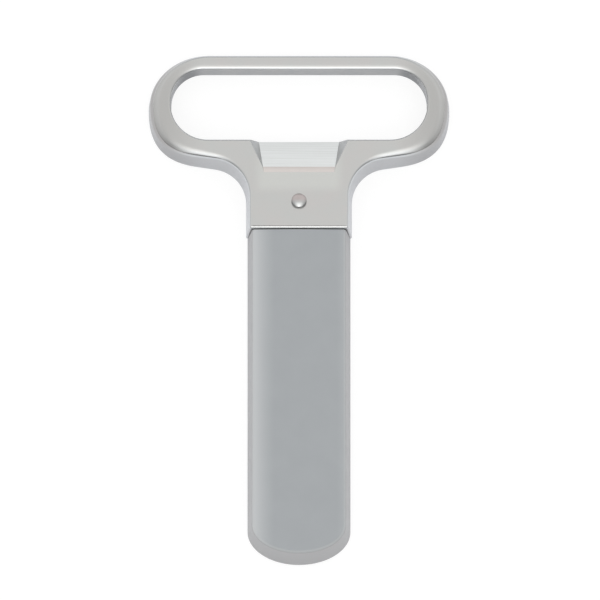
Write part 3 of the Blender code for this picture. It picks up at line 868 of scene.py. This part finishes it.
def blend(tree, share, first, second):
    """Blend two colours, each a socket or three numbers, by a share."""
    node = tree.nodes.new("ShaderNodeMix")
    node.data_type = "RGBA"
    tree.links.new(share, node.inputs["Factor"])
    sockets = [socket for socket in node.inputs if socket.type == "RGBA"]
    for socket, colour in zip(sockets, (first, second)):
        if isinstance(colour, tuple):
            socket.default_value = (*colour, 1.0)
        else:
            tree.links.new(colour, socket)
    return [socket for socket in node.outputs if socket.type == "RGBA"][0]


def set_colour(tree, shader, colour):
    """Let a colour that varies over the surface be the shader's own."""
    tree.links.new(colour, shader.inputs["Base Color"])


def set_roughness(tree, shader, value, low, high):
    """Let the roughness follow a value between two levels."""
    tree.links.new(remap(tree, value, 0.0, 1.0, low, high), shader.inputs["Roughness"])


def relief(tree, shader, height, strength, depth):
    """Fine relief on a surface from a height."""
    bump = tree.nodes.new("ShaderNodeBump")
    bump.inputs["Strength"].default_value = strength
    bump.inputs["Distance"].default_value = depth
    tree.links.new(height, bump.inputs["Height"])
    tree.links.new(bump.outputs["Normal"], shader.inputs["Normal"])


def coordinates(tree, kind="Object"):
    """The three parts of a place on the piece, or of its normal or the sky's direction."""
    place = tree.nodes.new("ShaderNodeTexCoord")
    axes = tree.nodes.new("ShaderNodeSeparateXYZ")
    tree.links.new(place.outputs[kind], axes.inputs["Vector"])
    return axes.outputs


def noise(tree, sizes, detail):
    """Noise on the piece's own coordinates, from nought to one, with its grain's size along X, Y and Z."""
    place = tree.nodes.new("ShaderNodeTexCoord")
    scales = tree.nodes.new("ShaderNodeCombineXYZ")
    squeeze = tree.nodes.new("ShaderNodeVectorMath")
    texture = tree.nodes.new("ShaderNodeTexNoise")
    squeeze.operation = "MULTIPLY"
    texture.inputs["Scale"].default_value = 1.0
    texture.inputs["Detail"].default_value = detail
    for socket, size in zip(scales.inputs, sizes):
        tree.links.new(calculate(tree, "DIVIDE", 1.0, size), socket)
    tree.links.new(place.outputs["Object"], squeeze.inputs[0])
    tree.links.new(scales.outputs["Vector"], squeeze.inputs[1])
    tree.links.new(squeeze.outputs["Vector"], texture.inputs["Vector"])
    return remap(tree, texture.outputs["Fac"], *NOISE_MIDDLE, 0.0, 1.0)


def progress(tree, value, start, full, smooth=False):
    """How far a value has come from its start to full, where both are numbers of an effect."""
    past = calculate(tree, "SUBTRACT", value, start)
    reach = calculate(tree, "SUBTRACT", full, start)
    return remap(tree, calculate(tree, "DIVIDE", past, reach), 0.0, 1.0, 0.0, 1.0, smooth)


def make_grain():
    """Fine grain with slow clouds over it, as on blasted plate and moulded plastic."""
    numbers = {"Grain size": 0.0003, "Cloud size": 0.008}
    tree, numbers, results = new_effect("surface_grain", numbers, ("Grain", "Cloud"))
    tree.links.new(noise(tree, [numbers["Grain size"]] * 3, detail=3.0), results["Grain"])
    tree.links.new(noise(tree, [numbers["Cloud size"]] * 3, detail=2.0), results["Cloud"])
    return tree


def make_rim_and_wall_masks():
    """Masks of the rounded rims, which handling polishes, and of the upright walls below them; they also
    place painted highlight tints and painted shade.
    """
    tree, numbers, results = new_effect("rim_and_wall_masks", {"Flat": 0.975, "Upright": 0.12}, ("Rim", "Wall"))
    lift = calculate(tree, "ABSOLUTE", coordinates(tree, "Normal")["Z"])
    leaves_flat = calculate(tree, "SUBTRACT", numbers["Flat"], lift)
    leaves_wall = calculate(tree, "SUBTRACT", lift, numbers["Upright"])
    off_flat = remap(tree, leaves_flat, 0.0, FLAT_FADE, 0.0, 1.0, smooth=True)
    off_wall = remap(tree, leaves_wall, 0.0, WALL_FADE, 0.0, 1.0, smooth=True)
    tree.links.new(calculate(tree, "MULTIPLY", off_flat, off_wall), results["Rim"])
    tree.links.new(flipped(tree, off_wall), results["Wall"])
    return tree


def make_loop_ends():
    """Mask of the loop's two ends, by distance from the middle line, which places the painted shade there.
    """
    tree, numbers, results = new_effect("distance_from_middle", {"Start": 0.024, "Full": 0.037}, ("Ends",))
    across = calculate(tree, "ABSOLUTE", coordinates(tree)["X"])
    tree.links.new(progress(tree, across, numbers["Start"], numbers["Full"], smooth=True), results["Ends"])
    return tree


def make_edge_sheen():
    """Mask of the sheath's two long edges, where a paler painted sheen comes in, more so on its left."""
    numbers = {"Left start": 0.0062, "Left full": 0.0124, "Right start": 0.0096, "Right full": 0.0160}
    tree, numbers, results = new_effect("painted_edge_sheen", numbers, ("Edges",))
    axes = coordinates(tree)
    shares = []
    for side, sign in (("Left", -1.0), ("Right", 1.0)):
        across = calculate(tree, "MULTIPLY", axes["X"], sign)
        shares.append(progress(tree, across, numbers[side + " start"], numbers[side + " full"]))
    nearer = calculate(tree, "MAXIMUM", *shares)
    tree.links.new(calculate(tree, "POWER", nearer, SHEEN_LATENESS), results["Edges"])
    return tree


def make_tool_lines():
    """Lines that run across a cut or brushed face: close together one way and long the other."""
    tree, numbers, results = new_effect("tool_lines", {"Spacing": 0.0002, "Length": 0.02}, ("Lines",))
    sizes = (numbers["Length"], numbers["Spacing"], numbers["Spacing"])
    tree.links.new(noise(tree, sizes, detail=2.0), results["Lines"])
    return tree


def make_wall_shade():
    """Masks of how far up the handle a place is, and how near the finger hole's upper corners."""
    low = HOLE_LOW + COLLAR_END
    numbers = {
        "Low": low,
        "High": low + 0.010,
        "Corner x": HOLE_SIDE - HOLE_UPPER_RADIUS * (1 - math.cos(WALL_CORNER_TURN)),
        "Corner y": HOLE_HIGH + COLLAR_END - HOLE_UPPER_RADIUS * (1 - math.sin(WALL_CORNER_TURN)),
        "Corner reach": 0.0045}
    tree, numbers, results = new_effect("wall_shade", numbers, ("Height", "Corner"))
    axes = coordinates(tree)
    height = progress(tree, axes["Y"], numbers["Low"], numbers["High"], smooth=True)
    tree.links.new(height, results["Height"])
    across = calculate(tree, "ABSOLUTE", axes["X"])
    off_x = calculate(tree, "SUBTRACT", across, numbers["Corner x"])
    off_y = calculate(tree, "SUBTRACT", axes["Y"], numbers["Corner y"])
    squares = [calculate(tree, "MULTIPLY", offset, offset) for offset in (off_x, off_y)]
    away = calculate(tree, "SQRT", calculate(tree, "ADD", *squares))
    far = calculate(tree, "DIVIDE", away, numbers["Corner reach"])
    tree.links.new(remap(tree, far, CORNER_CORE, 1.0, 1.0, 0.0, smooth=True), results["Corner"])
    return tree


def height_mask(tree, effects, low, high):
    """Mask that comes in between two heights on the handle, measured from the collar's end."""
    return place_effect(tree, effects["walls"], low=COLLAR_END + low, high=COLLAR_END + high)["Height"]


def ends_mask(tree, effects, start, full):
    """Mask that comes in on both sides between two distances from the middle line."""
    return place_effect(tree, effects["ends"], start=start, full=full)["Ends"]


def neck_top_mask(tree, effects):
    """Mask of the neck's face between the rivet and the lifter's ramp."""
    above = height_mask(tree, effects, low=RIVET_Y + 0.0016, high=RIVET_Y + 0.0052)
    past = height_mask(tree, effects, low=LIFTER_FOOT, high=HOLE_LOW)
    beside = ends_mask(tree, effects, start=0.0090, full=0.0125)
    between = calculate(tree, "SUBTRACT", above, past)
    return calculate(tree, "MULTIPLY", between, flipped(tree, beside))


def plate_tone(tree, effects, cloud, shape):
    """Tone of the plate: clouded, lighter on the neck's face, tinted on the rims for their highlights,
    with painted shade at the loop's ends and on the outer walls.
    """
    clouded = blend(tree, cloud, COOL_CLOUD, WARM_CLOUD)
    # Lighter on the neck's face between the rivet and the ramp.
    neck_lightened = blend(tree, neck_top_mask(tree, effects), clouded, NECK_TOP)
    # Painted highlight tint: the rims are slightly bluish, which colours their highlights.
    rim_tinted = blend(tree, shape["Rim"], neck_lightened, RIM_HIGHLIGHT_TINT)
    # Painted shade: the loop's ends are darker, a little less on their rims.
    shaded_ends = blend(tree, shape["Rim"], END_FACE_SHADE, END_RIM_SHADE)
    face = blend(tree, ends_mask(tree, effects, start=0.024, full=0.037), rim_tinted, shaded_ends)
    # Painted shade on the steep rounding at the loop's ends.
    steep = place_effect(tree, effects["rim"], upright=0.66)["Wall"]
    outer = ends_mask(tree, effects, start=0.027, full=0.038)
    rounded = blend(tree, calculate(tree, "MULTIPLY", steep, outer), face, STEEP_END)
    # Painted shade: the outer walls are darker, most at the loop's ends.
    wall = blend(tree, ends_mask(tree, effects, start=0.022, full=0.040), WALL_TONE, WALL_END)
    return blend(tree, shape["Wall"], rounded, wall)


def make_plate(effects):
    """Satin nickel plate: soft blasted grain, faint warm and cool clouds, rims polished by handling;
    painted shade darkens its outer walls and the loop's ends.
    """
    material, tree, shader = new_material("satin_nickel_plate", (0.525, 0.53, 0.52), rough=0.3, metal=1.0)
    grain = place_effect(tree, effects["grain"], grain_size=0.00022, cloud_size=0.006)
    shape = place_effect(tree, effects["rim"])
    set_colour(tree, shader, plate_tone(tree, effects, grain["Cloud"], shape))
    satin = remap(tree, grain["Grain"], 0.0, 1.0, 0.21, 0.27)
    polish = calculate(tree, "MULTIPLY", shape["Rim"], RIM_POLISH)
    tree.links.new(calculate(tree, "SUBTRACT", satin, polish), shader.inputs["Roughness"])
    relief(tree, shader, grain["Grain"], strength=0.06, depth=0.00003)
    return material


def make_milled(effects):
    """The lifter's ramp: plate over a milled face, whose cutter left fine lines across it."""
    groove, ridge = (0.77, 0.79, 0.78), (0.85, 0.87, 0.87)
    material, tree, shader = new_material("milled_ramp_plate", (0.8, 0.82, 0.815), rough=0.36, metal=1.0)
    lines = place_effect(tree, effects["lines"], spacing=0.00018, length=0.02)["Lines"]
    grain = place_effect(tree, effects["grain"], grain_size=0.0002, cloud_size=0.004)
    set_colour(tree, shader, blend(tree, lines, groove, ridge))
    set_roughness(tree, shader, grain["Grain"], low=0.32, high=0.44)
    relief(tree, shader, lines, strength=0.15, depth=0.00004)
    return material


def make_crease(effects):
    """The crease at the ramp's foot, where the cutter ran out and left the plate thin and warm."""
    thin, thinner = (0.635, 0.592, 0.568), (0.66, 0.615, 0.59)
    material, tree, shader = new_material("run_out_plate", (0.61, 0.565, 0.54), rough=0.34, metal=1.0)
    grain = place_effect(tree, effects["grain"], grain_size=0.0002, cloud_size=0.003)
    set_colour(tree, shader, blend(tree, grain["Cloud"], thin, thinner))
    set_roughness(tree, shader, grain["Grain"], low=0.30, high=0.38)
    relief(tree, shader, grain["Grain"], strength=0.06, depth=0.00003)
    return material


def make_rough_shaded_wall(effects):
    """Walls in the finger hole and beside the ramp that the finishing does not reach, so rougher; their
    darker tone is painted shade, deepening up the hole and most near its upper corners.
    """
    cool, warm = (0.345, 0.347, 0.345), (0.375, 0.37, 0.36)
    less_shaded, corner = (0.50, 0.505, 0.50), (0.21, 0.21, 0.21)
    material, tree, shader = new_material("rough_wall_painted_shade", (0.36, 0.36, 0.355), rough=0.4, metal=1.0)
    grain = place_effect(tree, effects["grain"], grain_size=0.0003, cloud_size=0.004)
    shade = place_effect(tree, effects["walls"])
    shaded_tone = blend(tree, grain["Cloud"], cool, warm)
    # Painted shade: lighter beside the ramp, darker up the finger hole.
    walls = blend(tree, shade["Height"], less_shaded, shaded_tone)
    # Painted shade, darkest near the hole's upper corners.
    set_colour(tree, shader, blend(tree, shade["Corner"], walls, corner))
    set_roughness(tree, shader, grain["Grain"], low=0.36, high=0.46)
    relief(tree, shader, grain["Grain"], strength=0.12, depth=0.00003)
    return material


def make_rivet_plate(effects):
    """The rivet's own plate, glossier than the handle's, with a painted warm reflection tint on its upper
    half and painted shade round its lower edge.
    """
    warm, warmer = (0.45, 0.405, 0.395), (0.475, 0.43, 0.42)
    lower, dark = (0.47, 0.475, 0.47), (0.30, 0.302, 0.30)
    material, tree, shader = new_material("rivet_plate", (0.45, 0.415, 0.40), rough=0.14, metal=1.0)
    grain = place_effect(tree, effects["grain"], grain_size=0.00018, cloud_size=0.0015)
    upper = height_mask(tree, effects, low=RIVET_Y - 0.0008, high=RIVET_Y + 0.0006)
    # Painted reflection: the upper half is tinted warm, the lower half neutral.
    tone = blend(tree, upper, lower, blend(tree, grain["Cloud"], warm, warmer))
    edge = place_effect(tree, effects["rim"], flat=0.85, upright=0.0)["Rim"]
    # Painted shade round the dome's lower edge.
    shaded_lower_edge = calculate(tree, "MULTIPLY", edge, flipped(tree, upper))
    set_colour(tree, shader, blend(tree, shaded_lower_edge, tone, dark))
    set_roughness(tree, shader, grain["Grain"], low=0.11, high=0.16)
    relief(tree, shader, grain["Grain"], strength=0.04, depth=0.00002)
    return material


def make_plastic(effects):
    """Moulded grey plastic: spark-eroded satin grain, with a painted highlight on its rounded rims and a
    paler painted sheen along its sides.
    """
    dark, light = (0.317, 0.334, 0.347), (0.327, 0.344, 0.357)
    rim, sheen_tone, wall = (0.38, 0.395, 0.40), (0.50, 0.513, 0.52), (0.335, 0.333, 0.335)
    material, tree, shader = new_material("moulded_grey", (0.325, 0.342, 0.355), rough=0.4, metal=0.0)
    grain = place_effect(tree, effects["grain"], grain_size=0.00025, cloud_size=0.005)
    shape = place_effect(tree, effects["rim"], flat=0.985, upright=0.5)
    edge_sheen = place_effect(tree, effects["edges"])["Edges"]
    # Painted highlight: the rounded rims are lighter.
    tone = blend(tree, shape["Rim"], blend(tree, grain["Cloud"], dark, light), rim)
    # Painted sheen: paler towards the two long sides, more on the left.
    set_colour(tree, shader, blend(tree, shape["Wall"], blend(tree, edge_sheen, tone, sheen_tone), wall))
    set_roughness(tree, shader, grain["Grain"], low=0.36, high=0.44)
    relief(tree, shader, grain["Grain"], strength=0.1, depth=0.00003)
    return material


def make_spring_steel(effects):
    """Rolled spring steel, finely brushed across."""
    dark, light = (0.50, 0.505, 0.51), (0.55, 0.553, 0.555)
    material, tree, shader = new_material("spring_steel", (0.52, 0.525, 0.53), rough=0.24, metal=1.0)
    lines = place_effect(tree, effects["lines"], spacing=0.00012, length=0.01)["Lines"]
    grain = place_effect(tree, effects["grain"], grain_size=0.0003, cloud_size=0.006)
    set_colour(tree, shader, blend(tree, grain["Cloud"], dark, light))
    set_roughness(tree, shader, lines, low=0.22, high=0.30)
    relief(tree, shader, lines, strength=0.05, depth=0.00001)
    return material


def make_zinc(effects):
    """Plain zinc casting of the block, greyer and rougher than the plate."""
    dark, light = (0.40, 0.41, 0.42), (0.48, 0.49, 0.50)
    material, tree, shader = new_material("cast_zinc", (0.45, 0.46, 0.47), rough=0.5, metal=1.0)
    grain = place_effect(tree, effects["grain"], grain_size=0.0004, cloud_size=0.003)
    set_colour(tree, shader, blend(tree, grain["Cloud"], dark, light))
    set_roughness(tree, shader, grain["Grain"], low=0.42, high=0.58)
    relief(tree, shader, grain["Grain"], strength=0.3, depth=0.00005)
    return material


def aim(item, target, away, distance):
    """Place a camera or a lamp off its target, looking back at it."""
    bpy.context.scene.collection.objects.link(item)
    item.location = target + away * distance
    item.rotation_mode = "QUATERNION"
    item.rotation_quaternion = away.to_track_quat("Z", "Y")


def make_camera():
    """Camera high above the collar's side, as in the photograph."""
    data = bpy.data.cameras.new("camera")
    data.sensor_width = SENSOR_WIDTH
    data.lens = SENSOR_WIDTH * CAMERA_DISTANCE / (PIXEL_SIZE * PHOTO_WIDTH)
    data.clip_start = 0.05
    data.clip_end = 20.0
    camera = bpy.data.objects.new("camera", data)
    away = Vector((0.0, -math.cos(CAMERA_ELEVATION), math.sin(CAMERA_ELEVATION)))
    aim(camera, CAMERA_TARGET, away, CAMERA_DISTANCE)
    bpy.context.scene.camera = camera


def make_table():
    """White paper sweep. Seen directly it is near white and keeps the object's soft shadow."""
    paper_colour = (PAPER_GREY,) * 3
    pick_nothing()
    bpy.ops.mesh.primitive_plane_add(size=6.0, location=(0.0, 0.0, 0.0))
    table = bpy.context.object
    table.name = "table"
    material, tree, shader = new_material("white_paper", paper_colour, rough=0.9, metal=0.0)
    shader.inputs["Specular IOR Level"].default_value = 0.0
    shader.inputs["Emission Strength"].default_value = 1.0
    path = tree.nodes.new("ShaderNodeLightPath").outputs
    paper = blend(tree, path["Is Glossy Ray"], paper_colour, (MIRRORED_PAPER,) * 3)
    set_colour(tree, shader, blend(tree, path["Is Camera Ray"], paper, (SHADOW_SHARE,) * 3))
    mirrored_glow = blend(tree, path["Is Glossy Ray"], BLACK, MIRRORED_GLOW)
    glow = blend(tree, path["Is Camera Ray"], mirrored_glow, (PAPER_GLOW,) * 3)
    tree.links.new(glow, shader.inputs["Emission Color"])
    table.data.materials.append(material)


def shade_ramp(tree, value, levels):
    """Greys that follow a value from nought to one."""
    ramp = tree.nodes.new("ShaderNodeValToRGB")
    ramp.color_ramp.interpolation = "EASE"
    stops = ramp.color_ramp.elements
    for place, level in levels[1:-1]:
        stops.new(place)
    for stop, (place, level) in zip(stops, levels):
        stop.position = place
        stop.color = (level, level, level, 1.0)
    tree.links.new(value, ramp.inputs["Fac"])
    return ramp.outputs["Color"]


def make_sky():
    """Soft studio light: a bright band overhead from front to back, dimmer sides, white behind."""
    world = bpy.data.worlds.new("studio")
    world.use_nodes = True
    tree = world.node_tree
    axes = coordinates(tree, "Generated")
    band = shade_ramp(tree, remap(tree, axes["Y"], -1.0, 1.0, 0.0, 1.0), BAND_LEVELS)
    behind = remap(tree, axes["Y"], -0.5, 0.5, SIDE_FRONT, SIDE_BACK)
    sides = blend(tree, behind, BLACK, shade_ramp(tree, axes["Z"], SIDE_LEVELS))
    across = calculate(tree, "ABSOLUTE", axes["X"])
    off_band = remap(tree, across, BAND_START, BAND_EDGE, 0.0, 1.0, smooth=True)
    light = blend(tree, off_band, band, sides)
    ray = tree.nodes.new("ShaderNodeLightPath").outputs["Is Camera Ray"]
    tree.links.new(blend(tree, ray, light, WHITE), tree.nodes["Background"].inputs["Color"])
    bpy.context.scene.world = world


def make_softbox(name, azimuth, elevation, width, height, level):
    """A soft panel lamp, aimed at the middle of the handle, whose face is as bright as the level."""
    out = math.cos(elevation)
    away = Vector((out * math.sin(azimuth), -out * math.cos(azimuth), math.sin(elevation)))
    data = bpy.data.lights.new(name, "AREA")
    data.shape = "RECTANGLE"
    data.size = width
    data.size_y = height
    data.energy = level * math.pi * width * height
    aim(bpy.data.objects.new(name, data), SOFTBOX_TARGET, away, SOFTBOX_DISTANCE)


make_camera()
make_table()
make_sky()
make_softbox(
    "front_softbox", azimuth=0.0, elevation=math.radians(48.0), width=0.30, height=0.20, level=1.2)
bpy.context.scene.view_settings.view_transform = "Standard"
effects = {
    "grain": make_grain(), "rim": make_rim_and_wall_masks(), "ends": make_loop_ends(), "edges": make_edge_sheen(),
    "lines": make_tool_lines(), "walls": make_wall_shade()}
make_handle((make_plate(effects), make_milled(effects), make_crease(effects), make_rough_shaded_wall(effects)))
make_rivet(make_rivet_plate(effects))
make_sheath(make_plastic(effects))
steel = make_spring_steel(effects)
make_inner_part("long_prong", "long_spring_prong", steel, "long_prong", PRONG_SOFTNESS)
make_inner_part("short_prong", "short_spring_prong", steel, "short_prong", PRONG_SOFTNESS)
make_inner_part("prong_block", "cast_block", make_zinc(effects), "handle", BLOCK_SOFTNESS)
